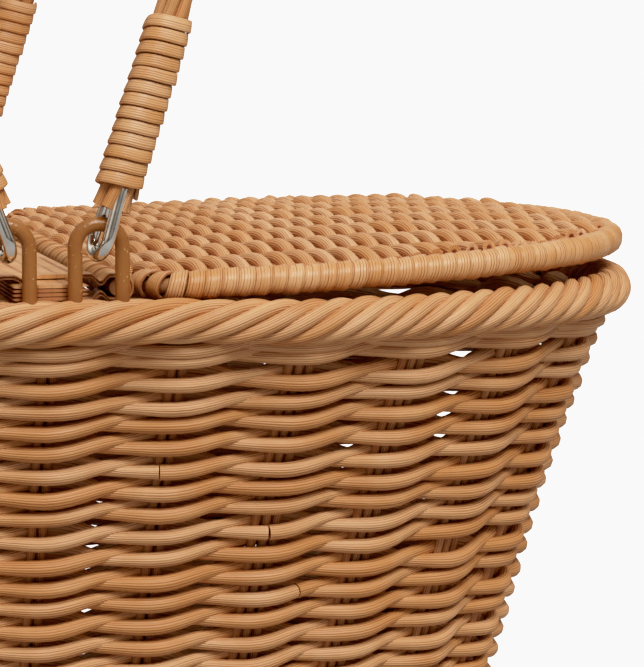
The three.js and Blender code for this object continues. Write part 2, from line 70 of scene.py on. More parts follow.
class Bench:
    def __init__(self, tree):
        self.tree = tree

    def add(self, kind, settings=None, sockets=None):
        node = self.tree.nodes.new(kind)
        for key, value in (settings or {}).items():
            setattr(node, key, value)
        for key, value in (sockets or {}).items():
            if isinstance(value, Wire):
                self.tree.links.new(value.socket, node.inputs[key])
            else:
                node.inputs[key].default_value = value
        return Wire(self, next((out for out in node.outputs if out.enabled), None))

    def maths(self, operation, *items):
        return self.add("ShaderNodeMath", {"operation": operation}, dict(enumerate(items)))

    def vector(self, operation, *items):
        return self.add("ShaderNodeVectorMath", {"operation": operation}, dict(enumerate(items)))

    def stretch(self, vector, factor):
        return self.add("ShaderNodeVectorMath", {"operation": "SCALE"}, {0: vector, "Scale": factor})

    def ramp(self, value, low, high):  # smooth 0..1 between two values
        return self.add("ShaderNodeMapRange", {"interpolation_type": "SMOOTHSTEP"},
                        {"Value": value, "From Min": low, "From Max": high})

    def xyz(self, x, y, z):
        return self.add("ShaderNodeCombineXYZ", None, {0: x, 1: y, 2: z})

    def blend(self, factor, first, second):
        return self.add("ShaderNodeMix", {"data_type": "RGBA", "blend_type": "MIX"},
                        {"Factor": factor, 6: first, 7: second})["Result"]

    def noise(self, vector, scale, detail, roughness=0.5):
        return self.add("ShaderNodeTexNoise", None,
                        {"Vector": vector, "Scale": scale, "Detail": detail, "Roughness": roughness})

    def grey(self, level):
        return self.add("ShaderNodeCombineColor", None, {0: level, 1: level, 2: level})


# geometry node trees; the usual value of an input also tells its kind
class Loom(Bench):
    def __init__(self, name, usual):
        tree = bpy.data.node_groups.new(name, "GeometryNodeTree")
        super().__init__(tree)
        tree.interface.new_socket("Geometry", in_out="OUTPUT", socket_type="NodeSocketGeometry")
        tree.interface.new_socket("Geometry", in_out="INPUT", socket_type="NodeSocketGeometry")
        self.usual = usual
        self.sockets = {}
        kinds = {label: "Int" if isinstance(value, int) else "Float" for label, value in usual.items()}
        for label, kind in {**kinds, "Material": "Material"}.items():
            made = tree.interface.new_socket(label, in_out="INPUT", socket_type="NodeSocket" + kind)
            self.sockets[label] = made.identifier
        self.given = self.add("NodeGroupInput")

    def read(self, name, kind="FLOAT"):
        return self.add("GeometryNodeInputNamedAttribute", {"data_type": kind}, {"Name": name})

    def store(self, geometry, name, value, kind="FLOAT"):
        return self.add("GeometryNodeStoreNamedAttribute", {"data_type": kind, "domain": "POINT"},
                        {"Geometry": geometry, "Name": name, "Value": value})

    def finish(self, geometry):
        smooth = self.add("GeometryNodeSetShadeSmooth", None, {"Geometry": geometry})
        real = self.add("GeometryNodeRealizeInstances", None, {"Geometry": smooth})
        finished = self.add("GeometryNodeSetMaterial", None,
                            {"Geometry": real, "Material": self.given["Material"]})
        self.add("NodeGroupOutput", None, {0: finished})


# Reeds that turn round a guide line: each guide point carries outDir, upDir, turns and strandId.
def strandLoom():
    loom = Loom("laid reeds", {"Strands": 1, "Out": 0.0, "Up": 0.0, "Sag": 0.0, "Kink": 0.0, "Back Lift": 0.0,
                               "Back Swell": 0.0, "Pinch": 0.0, "Reed Radius": 2 * mm, "Unevenness": 0.0,
                               "Sides": 10, "Wobble": 0.0, "Wobble Scale": 40.0, "Seed": 1})
    given = loom.given
    curve = loom.add("GeometryNodeMeshToCurve", None, {"Mesh": given["Geometry"]})
    copies = loom.add("GeometryNodeDuplicateElements", {"domain": "SPLINE"},
                      {"Geometry": curve, "Amount": given["Strands"]})
    index = copies["Duplicate Index"]
    strand = loom.read("strandId")
    label = strand * 16 + index
    turn = 2 * math.pi * (loom.read("turns") + index / given["Strands"])
    bent = turn.maths("COSINE") + given["Kink"] * (turn * 3).maths("COSINE")
    outward = given["Out"] * bent
    inside = (0 - bent).maths("MAXIMUM", 0.0)
    upward = given["Up"] * (turn.maths("SINE") - given["Sag"] * bent) + given["Back Lift"] * inside
    crossing = turn.maths("SINE") * turn.maths("SINE")
    copies = loom.store(copies, "swell", inside * given["Back Swell"] - crossing * crossing * given["Pinch"])
    shift = loom.vector("ADD", loom.stretch(loom.read("outDir", "FLOAT_VECTOR"), outward),
                        loom.stretch(loom.read("upDir", "FLOAT_VECTOR"), upward))
    spot = loom.add("GeometryNodeInputPosition")
    noise = loom.add("ShaderNodeTexNoise", {"noise_dimensions": "4D"},
                     {"Vector": spot, "W": label * 3.7, "Scale": given["Wobble Scale"],
                      "Detail": 1.0})["Color"]
    drift = loom.stretch(loom.vector("SUBTRACT", noise, (0.5, 0.5, 0.5)), given["Wobble"])
    laid = loom.add("GeometryNodeSetPosition", None,
                    {"Geometry": copies, "Offset": loom.vector("ADD", shift, drift)})
    chance = loom.add("FunctionNodeRandomValue", {"data_type": "FLOAT"}, {"ID": label, "Seed": given["Seed"]})
    laid = loom.store(laid, "tone", chance)
    laid = loom.store(laid, "run", loom.add("GeometryNodeSplineParameter")["Length"])
    ring = loom.add("GeometryNodeCurvePrimitiveCircle", None,
                    {"Resolution": given["Sides"], "Radius": 1.0})
    ring = loom.store(ring, "section", loom.add("GeometryNodeInputPosition"), "FLOAT_VECTOR")
    ring = loom.add("GeometryNodeSetPosition", None,
                    {"Geometry": ring, "Position": loom.stretch(loom.add("GeometryNodeInputPosition"),
                                                                given["Reed Radius"])})
    thick = 1 + (loom.read("tone") - 0.5) * given["Unevenness"] + loom.read("swell")
    swept = loom.add("GeometryNodeCurveToMesh", None,
                     {"Curve": laid, "Profile Curve": ring, "Scale": thick, "Fill Caps": True})
    loom.finish(swept)
    return loom


# A flat cane wound round a guide line. The usual values lay it along the line instead.
def bandLoom():
    loom = Loom("wound cane", {"Points": 60, "Pitch": 1000.0, "Half Out": 1e-7, "Half Up": 1e-7,
                               "Squareness": 2.0, "Cane Width": 5 * mm, "Cane Thickness": 1 * mm,
                               "Tilt": 0.0, "Wobble": 0.0, "Seed": 5})
    given = loom.given
    curve = loom.add("GeometryNodeMeshToCurve", None, {"Mesh": given["Geometry"]})
    curve = loom.add("GeometryNodeResampleCurve", {"mode": "COUNT"},
                     {"Curve": curve, "Count": given["Points"]})
    along = loom.add("GeometryNodeSplineParameter")["Length"]
    turn = 2 * math.pi * (along / given["Pitch"])
    bend = 2 / given["Squareness"]
    cosine = turn.maths("COSINE")
    sine = turn.maths("SINE")
    outDir = loom.vector("NORMALIZE", loom.read("outDir", "FLOAT_VECTOR"))
    upDir = loom.vector("NORMALIZE", loom.read("upDir", "FLOAT_VECTOR"))
    outward = cosine.bowed(bend)
    upward = sine.bowed(bend)
    faceOut = cosine.bowed(2 - bend) * given["Half Up"]
    faceUp = sine.bowed(2 - bend) * given["Half Out"]

    def drifting(rate, shift):  # a value that wanders from turn to turn
        place = along / given["Pitch"] * rate + given["Seed"] + shift
        return loom.add("ShaderNodeTexNoise", {"noise_dimensions": "1D"},
                        {"W": place, "Scale": 1.0, "Detail": 0.0})

    grow = 1 + (drifting(1.3, 0) - 0.5) * given["Wobble"]
    shift = loom.vector("ADD", loom.stretch(outDir, outward * given["Half Out"] * grow),
                        loom.stretch(upDir, upward * given["Half Up"] * grow))
    face = loom.vector("ADD", loom.stretch(outDir, faceOut), loom.stretch(upDir, faceUp))
    face = loom.vector("NORMALIZE", face)
    face = loom.vector("ADD", face, loom.stretch(loom.vector("CROSS_PRODUCT", outDir, upDir), given["Tilt"]))
    curve = loom.store(curve, "face", face, "FLOAT_VECTOR")
    curve = loom.store(curve, "run", along)
    curve = loom.store(curve, "tone", drifting(0.9, 40))
    wound = loom.add("GeometryNodeSetPosition", None, {"Geometry": curve, "Offset": shift})
    wound = loom.add("GeometryNodeSetCurveNormal", {"mode": "FREE"},
                     {"Curve": wound, "Normal": loom.vector("NORMALIZE", loom.read("face", "FLOAT_VECTOR"))})
    ring = loom.add("GeometryNodeCurvePrimitiveCircle", None, {"Resolution": 12, "Radius": 1.0})
    part = loom.add("ShaderNodeSeparateXYZ", None, {0: loom.add("GeometryNodeInputPosition")})
    across = part["Y"].bowed(0.6)
    rise = part["X"].bowed(0.5)
    ring = loom.store(ring, "across", across)
    shape = loom.xyz(rise * given["Cane Thickness"] * 0.5, across * given["Cane Width"] * 0.5, 0.0)
    ring = loom.add("GeometryNodeSetPosition", None, {"Geometry": ring, "Position": shape})
    swept = loom.add("GeometryNodeCurveToMesh", None,
                     {"Curve": wound, "Profile Curve": ring, "Fill Caps": True})
    loom.finish(swept)
    return loom


looms = {"strand": strandLoom(), "band": bandLoom()}


def newObject(name, data):
    made = bpy.data.objects.new(name, data)
    bpy.context.scene.collection.objects.link(made)
    return made


# guide lines
class Guides:  # lines of points with what the looms read from them
    def __init__(self, matrix=Matrix.Identity(4)):
        self.turning = np.array(matrix.to_3x3()).T
        self.shift = np.array(matrix.translation)
        self.points, self.edges = [], []
        self.values = {"outDir": [], "upDir": [], "turns": [], "strandId": []}

    def line(self, points, outDir, upDir, turns=0.0, strandId=0, closed=False):
        count = len(points)
        start = len(self.points)
        self.points.extend((points @ self.turning + self.shift).tolist())
        self.edges.extend([start + i, start + i + 1] for i in range(count - 1))
        if closed:
            self.edges.append([start + count - 1, start])
        for label, direction in (("outDir", outDir), ("upDir", upDir)):
            turned = np.asarray(direction) @ self.turning
            self.values[label].extend(np.broadcast_to(turned, (count, 3)).tolist())
        self.values["turns"].extend(np.broadcast_to(turns, count).tolist())
        self.values["strandId"].extend([float(strandId)] * count)
        return self

    def build(self, name):
        mesh = bpy.data.meshes.new(name)
        mesh.from_pydata(self.points, self.edges, [])
        for label, rows in self.values.items():
            kind = "FLOAT_VECTOR" if label.endswith("Dir") else "FLOAT"
            data = mesh.attributes.new(label, kind, "POINT").data
            data.foreach_set("vector" if kind == "FLOAT_VECTOR" else "value", np.array(rows, "f").ravel())
        return newObject(name, mesh)


def weave(name, guides, loomName, material, settings):
    loom = looms[loomName]
    holder = guides.build(name + "_guide")
    modifier = holder.modifiers.new("loom", "NODES")
    modifier.node_group = loom.tree
    for label, value in {**loom.usual, **settings, "Material": material}.items():
        modifier[loom.sockets[label]] = value
    bpy.context.view_layer.update()
    made = holder.evaluated_get(bpy.context.evaluated_depsgraph_get())
    mesh = bpy.data.meshes.new_from_object(made)
    mesh.name = name
    piece = newObject(name, mesh)
    bpy.data.objects.remove(holder)
    for label in ("outDir", "upDir", "turns", "strandId", "face", "swell"):
        spare = mesh.attributes.get(label)
        if spare:
            mesh.attributes.remove(spare)
    faceOutward(mesh)
    return piece


def faceOutward(mesh):
    corners = np.empty(len(mesh.vertices) * 3, "f")
    mesh.vertices.foreach_get("co", corners)
    corners = corners.reshape(-1, 3).astype("d")
    mesh.calc_loop_triangles()
    triangles = np.empty(len(mesh.loop_triangles) * 3, "i")
    mesh.loop_triangles.foreach_get("vertices", triangles)
    a, b, c = (corners[triangles.reshape(-1, 3)[:, k]] for k in range(3))
    if np.einsum("ij,ij->i", a, np.cross(b, c)).sum() < 0:
        mesh.flip_normals()


def settle(piece, body, slotName, *nodes):
    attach(piece, body)
    if nodes:
        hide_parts(*nodes)
    print("piece", piece.name, len(piece.data.polygons), "faces")


# the oval and the wall
oval = {"power": 2.57, "halfLength": 202 * mm, "halfWidth": 130 * mm, "rimHeight": 192 * mm,
        "step": 2 * mm, "footSlope": 0.19, "lipSlope": 0.24, "lipReach": 80 * mm, "stakes": 28}


def ovalPoints(halfLength, halfWidth, turn):
    across, along = np.cos(turn), np.sin(turn)
    bend = 2 / oval["power"]
    return np.stack([halfLength * np.sign(across) * np.abs(across) ** bend,
                     halfWidth * np.sign(along) * np.abs(along) ** bend], -1)


def rimPoints(turn, inset=0.0):
    return ovalPoints(oval["halfLength"] - inset, oval["halfWidth"] - inset, turn)


def runLengths(points):  # the length from the first point to each point
    return np.concatenate([[0], np.cumsum(np.linalg.norm(np.diff(points, axis=0), axis=1))])


denseTurns = np.linspace(-math.pi / 2, 3 * math.pi / 2, 8001)
denseLengths = runLengths(rimPoints(denseTurns))


def stakeTurn(place):  # the oval's turn at a stake number, 0 at the front
    share = np.mod(np.asarray(place, float) / oval["stakes"], 1.0)
    return np.interp(share * denseLengths[-1], denseLengths, denseTurns)


def wallInset(depth):
    curl = oval["lipSlope"] * oval["lipReach"] * (1 - np.exp(-depth / oval["lipReach"]))
    return oval["step"] + oval["footSlope"] * depth + curl


def ovalLine(place, inset, height):
    turn = stakeTurn(place)
    tangent = rimPoints(turn + 1e-3) - rimPoints(turn - 1e-3)
    tangent /= np.linalg.norm(tangent, axis=1)[:, None]
    zeros = np.zeros(len(turn))
    points = np.column_stack([rimPoints(turn, inset), zeros + height])
    outward = np.column_stack([tangent[:, 1], -tangent[:, 0], zeros])
    return points, outward


# finishes
def newFinish(name, constants):
    material = bpy.data.materials.new(name)
    material.use_nodes = True
    bench = Bench(material.node_tree)
    shader = material.node_tree.nodes["Principled BSDF"]
    for socket, value in constants.items():
        shader.inputs[socket].default_value = value
    return material, bench, shader


def plug(bench, shader, socket, wire):
    bench.tree.links.new(wire.socket, shader.inputs[socket])


def plugBump(bench, shader, height):
    bump = bench.add("ShaderNodeBump", None, {"Height": height, "Strength": 1.0, "Distance": 1.0})
    plug(bench, shader, "Normal", bump["Normal"])


def readAttribute(bench, name):
    return bench.add("ShaderNodeAttribute", {"attribute_name": name})


def cloudAndGrain(bench, look, detail):  # broad patches and fine specks over a piece
    place = bench.add("ShaderNodeTexCoord")["Object"]
    return bench.noise(place, look["cloudScale"], detail), bench.noise(place, look["grainScale"], 1.0)


def reedFinish(name, look):
    material, bench, shader = newFinish(name, {"Specular IOR Level": 0.4})
    section = bench.add("ShaderNodeSeparateXYZ", None, {0: readAttribute(bench, "section")["Vector"]})
    run = readAttribute(bench, "run")["Fac"]
    tone = readAttribute(bench, "tone")["Fac"]
    lengthwise = run * look["streaks"] + tone * 57
    fibre = bench.xyz(section["X"] * look["fibre"], section["Y"] * look["fibre"], lengthwise)
    streak = bench.noise(fibre, 1.0, 2.0, 0.6)
    around = section["Y"].maths("ARCTAN2", section["X"])
    wave = (around * look["ribs"] + (streak - 0.5) * 5 + tone * 6).maths("COSINE")
    # painted shade: the rib grooves are darkened towards the dark colour, in streaks along the fibre
    grooveShade = bench.ramp(wave, 0.25, 1.0) * bench.ramp(streak, 0.30, 0.62)
    cloud, grain = cloudAndGrain(bench, look, 2.0)
    warm = bench.blend(bench.ramp(cloud * 0.6 + tone * 0.4, 0.28, 0.72), look["pale"], look["mid"])
    grooveShaded = bench.blend(grooveShade * look["lineStrength"], warm, look["dark"])
    speckled = bench.blend((grain - 0.5) * 0.4 + 0.12, grooveShaded, look["mid"])
    centre = (section["X"] * section["X"] + section["Y"] * section["Y"]) ** 0.5
    cut = bench.blend(1 - bench.ramp(centre, 0.28, 0.5), speckled, look["bore"])  # painted shade of the hollow bore, shows on cut ends only
    plug(bench, shader, "Base Color", cut)
    plug(bench, shader, "Roughness", look["roughness"] + (streak - 0.5) * 0.4)
    plugBump(bench, shader, wave * look["ribDepth"] * -1 + grain * 0.00003)
    return material


def caneFinish(name, look):
    material, bench, shader = newFinish(name, {"Specular IOR Level": 0.5})
    across = readAttribute(bench, "across")["Fac"]
    run = readAttribute(bench, "run")["Fac"]
    tone = readAttribute(bench, "tone")["Fac"]
    fibre = bench.xyz(across * look["ribs"], run * look["streaks"], tone * 3)
    streak = bench.noise(fibre, 1.0, 2.0, 0.6)
    wave = (across * look["ribs"] * math.pi + (streak - 0.5) * 2.5).maths("COSINE") * 0.5 + 0.5
    # painted shade: the cane's rib grooves are darkened towards the dark colour, in streaks along the fibre
    grooveShade = bench.ramp(wave, 0.6, 1.0) * bench.ramp(streak, 0.3, 0.6)
    cloud, grain = cloudAndGrain(bench, look, 2.0)
    warm = bench.blend(bench.ramp(cloud + (tone - 0.5) * 0.6, 0.3, 0.75), look["pale"], look["mid"])
    grooveShaded = bench.blend(grooveShade * look["lineStrength"], warm, look["dark"])
    # painted shade: the cane darkens towards both of its edges
    edge = bench.ramp(across.maths("ABSOLUTE"), look["edgeFrom"], 1.0)
    edgeShaded = bench.blend(edge * look["edgeShade"], grooveShaded, look["dark"])
    speckled = bench.blend((grain - 0.5) * 0.35 + 0.15, edgeShaded, look["mid"])
    plug(bench, shader, "Base Color", speckled)
    plug(bench, shader, "Roughness", look["roughness"] + (streak - 0.5) * 0.4)
    plugBump(bench, shader, wave * -1 * look["ribDepth"] + grain * 0.00004)
    return material


def wireFinish(name, look):
    material, bench, shader = newFinish(name, {"Metallic": look["metallic"], "Specular IOR Level": 0.5})
    cloud, flecks = cloudAndGrain(bench, look, 3.0)
    mixed = bench.blend(bench.ramp(cloud, 0.35, 0.7), look["pale"], look["mid"])
    fleckShare = bench.ramp(flecks, look["fleckFrom"], look["fleckFrom"] + 0.06)
    marked = bench.blend(fleckShare, mixed, look["fleck"])
    plug(bench, shader, "Base Color", marked)
    plug(bench, shader, "Roughness", look["roughness"] + (cloud - 0.5) * look["roughnessSpread"])
    plugBump(bench, shader, flecks * look["bump"])
    return material


reedLook = {"pale": (0.74, 0.42, 0.215, 1), "mid": (0.59, 0.265, 0.095, 1), "dark": (0.22, 0.045, 0.008, 1),
            "bore": (0.30, 0.07, 0.025, 1), "fibre": 2.2, "streaks": 16, "ribs": 18, "lineStrength": 0.8,
            "ribDepth": 0.00005, "cloudScale": 60.0, "grainScale": 1600.0, "roughness": 0.5}
lidLook = dict(reedLook, pale=(0.81, 0.47, 0.255, 1), mid=(0.70, 0.34, 0.14, 1))
# painted shade: the stakes, rim core and ribs get a darker copy of the wall reed, standing in for the shade
# inside the weave
shadedStakeLook = dict(reedLook, pale=(0.58, 0.31, 0.15, 1), mid=(0.46, 0.20, 0.08, 1), ribs=12)
caneLook = {"pale": (0.75, 0.435, 0.22, 1), "mid": (0.63, 0.30, 0.11, 1), "dark": (0.24, 0.045, 0.008, 1),
            "streaks": 26, "ribs": 5.5, "lineStrength": 0.9, "ribDepth": 0.00006, "edgeFrom": 0.84,
            "edgeShade": 0.75, "cloudScale": 90.0, "grainScale": 1500.0, "roughness": 0.42}
# the lower crossbar strips get a darker copy of the flat cane: painted shade under the top strip, together
# with their darker end grain
shadedSlatLook = dict(caneLook, pale=(0.50, 0.22, 0.09, 1), mid=(0.42, 0.15, 0.05, 1))
coatedLook = {"pale": (0.34, 0.135, 0.035, 1), "mid": (0.27, 0.10, 0.025, 1), "fleck": (0.62, 0.36, 0.17, 1),
              "metallic": 0.0, "cloudScale": 60.0, "grainScale": 900.0, "fleckFrom": 0.7,
              "roughness": 0.34, "roughnessSpread": 0.2, "bump": 0.00015}
platedLook = {"pale": (0.90, 0.90, 0.87, 1), "mid": (0.66, 0.66, 0.63, 1), "fleck": (0.3, 0.3, 0.28, 1),
              "metallic": 1.0, "cloudScale": 160.0, "grainScale": 700.0, "fleckFrom": 0.72,
              "roughness": 0.13, "roughnessSpread": 0.1, "bump": 0.00002}
rodLook = {"pale": (0.42, 0.21, 0.095, 1), "mid": (0.32, 0.14, 0.055, 1), "fleck": (0.5, 0.28, 0.14, 1),
           "metallic": 0.0, "cloudScale": 200.0, "grainScale": 900.0, "fleckFrom": 0.7,
           "roughness": 0.55, "roughnessSpread": 0.2, "bump": 0.0002}
wallReed = reedFinish("wall_reed", reedLook)
lidReed = reedFinish("lid_reed", lidLook)
shadedStakeReed = reedFinish("stake_reed_finish", shadedStakeLook)
flatCane = caneFinish("flat_cane", caneLook)
shadedSlatCane = caneFinish("slat_cane_painted_shade", shadedSlatLook)
coatedWire = wireFinish("coated_wire_finish", coatedLook)
platedWire = wireFinish("plated_wire_finish", platedLook)
bareRod = wireFinish("bare_rod", rodLook)
print("finishes made")


# wall
wall = {"seed": 11, "lockDepth": 6.2 * mm, "firstDepth": 10.1 * mm, "topPitch": 6.35 * mm,
        "lowPitch": 7.0 * mm, "rowsToWiden": 8, "lastDepth": 179 * mm, "lead": 0.12, "pointsPerStake": 10,
        "firstStart": 13,
        "waver": 0.25 * mm, "rowDrift": 0.3 * mm, "strandDrift": 0.25 * mm, "jointGap": 0.35 * mm,
        "laid": {"Out": 3.15 * mm, "Up": 0.98 * mm, "Sag": 1.3, "Kink": 0.11, "Back Lift": 1.4 * mm,
                 "Back Swell": 0.42, "Pinch": 0.2, "Reed Radius": 2.42 * mm, "Unevenness": 0.14,
                 "Wobble": 0.8 * mm, "Wobble Scale": 45.0, "Seed": 3}}
joints = [(0.95, 42 * mm), (2.0, 62 * mm), (2.4, 85 * mm)]  # stake number and depth of a new reed


def wallDepths():
    depths = [wall["firstDepth"]]
    while depths[-1] < wall["lastDepth"]:
        share = min(1.0, len(depths) / wall["rowsToWiden"])
        depths.append(depths[-1] + wall["topPitch"] + share * (wall["lowPitch"] - wall["topPitch"]))
    return [wall["lockDepth"]] + depths[:-1]  # the locking row lies half under the rim


def reedLengths(start, depth, strand):  # one full turn, cut at a joint on this row in front
    ends = [start, start + oval["stakes"]]
    gap = wall["jointGap"] * oval["stakes"] / denseLengths[-1]
    for place, jointDepth in joints:
        inFront = math.cos(math.pi * (place - wall["lead"] + strand)) > 0.5
        if inFront and abs(depth - jointDepth) < wall["topPitch"] / 2:
            ends[-1:-1] = [oval["stakes"] + place - gap / 2, oval["stakes"] + place + gap / 2]
    return list(zip(ends[::2], ends[1::2]))


def makeWall():
    rng = np.random.default_rng(wall["seed"])
    depths = wallDepths()
    stakes = oval["stakes"]
    half = len(depths) // 2
    number = 0
    for part, rows in (("wall_upper", depths[:half]), ("wall_lower", depths[half:])):
        guides = Guides()
        for row, depth in enumerate(rows):
            drift = rng.normal(0, 1, 4)
            rowBumps = rng.normal(0, wall["rowDrift"], stakes)
            for strand in range(2):
                # each reed starts and ends inside, behind a stake
                start = wall["firstStart"] + strand + 2 * rng.integers(0, 3)
                bumps = rowBumps + rng.normal(0, wall["strandDrift"], stakes)
                for low, high in reedLengths(start, depth, strand):
                    place = np.linspace(low, high, int((high - low) * wall["pointsPerStake"]) + 1)
                    waver = sum(size * np.sin(2 * math.pi * (k + 1) * place / stakes + k)
                                for k, size in enumerate(drift))
                    uneven = np.interp(np.mod(place, stakes), np.arange(stakes + 1),
                                       np.append(bumps, bumps[0]))
                    height = oval["rimHeight"] - depth + wall["waver"] * waver + uneven
                    points, outward = ovalLine(place, wallInset(depth), height)
                    number += 1
                    guides.line(points, outward, (0, 0, 1), (place - wall["lead"] + strand) / 2, number)
        piece = weave(part, guides, "strand", wallReed, wall["laid"])
        settle(piece, "basket", "reed", "wall_weave")


stake = {"seed": 5, "spacing": 3.3 * mm, "top": 6 * mm, "bottom": 182 * mm, "points": 24, "threeReeds": 0.45,
         "lean": 0.05, "leanShare": 0.2, "spreadReach": 400 * mm,
         "laid": {"Reed Radius": 1.55 * mm, "Sides": 8, "Wobble": 0.7 * mm, "Wobble Scale": 60.0, "Seed": 7}}


def makeStakes():
    rng = np.random.default_rng(stake["seed"])
    guides = Guides()
    for number in range(oval["stakes"]):
        reeds = 3 if rng.random() < stake["threeReeds"] else 2
        lean = rng.normal(0, stake["lean"])
        for k in range(reeds):
            side = (k - (reeds - 1) / 2) * stake["spacing"]
            depth = np.linspace(stake["top"], stake["bottom"], stake["points"])
            width = denseLengths[-1] / oval["stakes"]
            spread = 1 + depth / stake["spreadReach"]
            place = number + (side + lean * depth * stake["leanShare"]) / width * spread
            points, outward = ovalLine(place, wallInset(depth), oval["rimHeight"] - depth)
            guides.line(points, outward, (0, 0, 1), 0, number * 4 + k)
    piece = weave("stakes", guides, "strand", shadedStakeReed, stake["laid"])
    settle(piece, "basket", "stake_reed", *["stake_%02d" % (n + 1) for n in range(oval["stakes"])])


# rolled borders
rim = {"turns": 20, "slowing": 0.395, "slowReach": 1.6, "phase": -0.017, "lift": 2.0 * mm, "liftReach": 1.5,
       "points": 560, "core": {"Reed Radius": 3.2 * mm, "Seed": 22},
       "laid": {"Strands": 6, "Out": 4.5 * mm, "Up": 4.5 * mm, "Reed Radius": 2.35 * mm, "Unevenness": 0.15,
                "Wobble": 0.9 * mm, "Seed": 21}}
foot = {"turns": 14, "height": 5.5 * mm, "wallDepth": 180.7 * mm,
        "laid": {"Strands": 5, "Out": 3.2 * mm, "Up": 3.2 * mm, "Reed Radius": 2.15 * mm,
                 "Wobble": 0.6 * mm, "Seed": 23}}


def nearStaples(place, reach):  # 1 beside the staples and 0 away from them
    away = np.abs(np.mod(place + oval["stakes"] / 4, oval["stakes"] / 2) - oval["stakes"] / 4)
    return np.exp(-(away / reach) ** 4)


def rimTurnsAt(place):  # the lay is longer beside the staples
    dense = np.linspace(0, 2 * oval["stakes"], 4001)
    rate = 1 - rim["slowing"] * nearStaples(dense, rim["slowReach"])
    total = np.concatenate([[0], np.cumsum((rate[1:] + rate[:-1]) / 2)])
    return 2 * rim["turns"] * np.interp(place, dense, total / total[-1])


def makeBorders():
    stakes = oval["stakes"]
    place = stakes / 2 + np.linspace(0, stakes, rim["points"] + 1)[:-1]
    height = oval["rimHeight"] + rim["lift"] * nearStaples(place, rim["liftReach"])
    points, outward = ovalLine(place, 0.0, height)
    turns = rimTurnsAt(place) + rim["phase"]
    guides = Guides().line(points, outward, (0, 0, 1), turns, 1, closed=True)
    piece = weave("rim_rope", guides, "strand", wallReed, rim["laid"])
    settle(piece, "basket", "reed", "rim_border")
    piece = weave("rim_core", guides, "strand", shadedStakeReed, rim["core"])
    settle(piece, "basket", "stake_reed", "rim_border")
    points, outward = ovalLine(place, wallInset(foot["wallDepth"]), foot["height"])
    guides = Guides().line(points, outward, (0, 0, 1), foot["turns"] * place / stakes, 2, closed=True)
    piece = weave("foot_rope", guides, "strand", wallReed, foot["laid"])
    settle(piece, "basket", "reed", "foot_border")


# flat weaves: paired reeds along Y over ribs along X
flat = {"pitch": 6.5 * mm, "lead": 0.15, "ribSpacing": 26 * mm, "ribReeds": 3, "ribSpread": 2.1,
        "laid": {"Out": 2.2 * mm, "Up": 1.15 * mm, "Sag": 0.6, "Reed Radius": 2.2 * mm, "Unevenness": 0.15,
                 "Wobble": 0.9 * mm, "Wobble Scale": 45.0},
        "ribs": {"Reed Radius": 1.3 * mm, "Sides": 8, "Wobble": 0.4 * mm, "Wobble Scale": 45.0, "Seed": 9}}


def flatWeave(name, columns, halfWidthAt, liftAt, matrix, material, seed):
    guides = Guides(matrix)
    for number, x in enumerate(columns):
        half = halfWidthAt(x)
        for strand in range(2):
            count = max(6, int(2 * half / (flat["ribSpacing"] / 10)))
            y = np.linspace(-half, half, count)
            points = np.column_stack([np.full(count, x), y, liftAt(x, y)])
            turns = (y / flat["ribSpacing"] - flat["lead"] + strand) / 2
            guides.line(points, (0, 0, 1), (-1, 0, 0), turns, 2 * number + strand)
    return weave(name, guides, "strand", material, {**flat["laid"], "Seed": seed})


def flatRibs(name, rows, reachAt, liftAt, matrix):
    guides = Guides(matrix)
    for number, y in enumerate(rows):
        low, high = reachAt(y)
        x = np.linspace(low, high, 30)
        for k in range(flat["ribReeds"]):
            shift = (k - (flat["ribReeds"] - 1) / 2) * flat["ribSpread"] * flat["ribs"]["Reed Radius"]
            points = np.column_stack([x, np.full(len(x), y + shift), liftAt(x, y)])
            guides.line(points, (0, 0, 1), (0, 1, 0), 0, number * 4 + k)
    return weave(name, guides, "strand", shadedStakeReed, flat["ribs"])


base = {"height": 5.6 * mm, "edge": 7 * mm, "seed": 31}


def makeBase():
    inset = wallInset(foot["wallDepth"])
    halfLength = oval["halfLength"] - inset - base["edge"]
    halfWidth = oval["halfWidth"] - inset - base["edge"]
    power = oval["power"]

    def level(x, y):
        return base["height"] + 0 * x + 0 * y

    def halfWidthAt(x):
        return halfWidth * max(0.0, 1 - abs(x / halfLength) ** power) ** (1 / power)

    def reachAt(y):
        reach = halfLength * max(0.0, 1 - abs(y / halfWidth) ** power) ** (1 / power)
        return -reach, reach

    count = int(halfLength / flat["pitch"])
    columns = [k * flat["pitch"] for k in range(-count, count + 1)]
    piece = flatWeave("base_weave", columns, halfWidthAt, level, Matrix.Identity(4), wallReed,
                      base["seed"])
    settle(piece, "basket", "reed", "base_mat")
    rows = [k * flat["ribSpacing"] for k in (-1, 0, 1)]
    piece = flatRibs("base_ribs", rows, reachAt, level, Matrix.Identity(4))
    settle(piece, "basket", "stake_reed", "base_mat")


# lids
lid = {"hingeOffset": 21.2 * mm, "height": 202.9 * mm, "rise": 1.45, "halfLength": 202.2 * mm,
       "halfWidth": 123.2 * mm, "cornerPlace": 105.5 * mm, "crown": 5.0 * mm, "crownReach": 1.02,
       "seat": 0.4 * mm, "hingeEdge": 5.5 * mm, "farEdge": 3 * mm, "cornerInset": 6 * mm,
       "cornerSlope": 2.1, "cornerEnd": 9 * mm, "bindingGrip": 1.2 * mm, "seed": {"right": 41, "left": 42}}
lidBorder = {"radius": 4.25 * mm, "cornerGap": 0.3 * mm, "bowStart": 16 * mm, "bowSetback": 1 * mm,
             "corner": [(0, 0), (2.5, 0), (6.5, 4), (7.5, 10), (10.5, 15)], "bowTurn": 79, "points": 700,
             "bareEnd": 12, "pointsPerTurn": 14, "rod": {"Reed Radius": 2.3 * mm, "Sides": 12},
             "wrap": {"Pitch": 5.05 * mm, "Cane Width": 5.1 * mm, "Cane Thickness": 1.4 * mm, "Tilt": 0.16,
                      "Wobble": 0.28}}
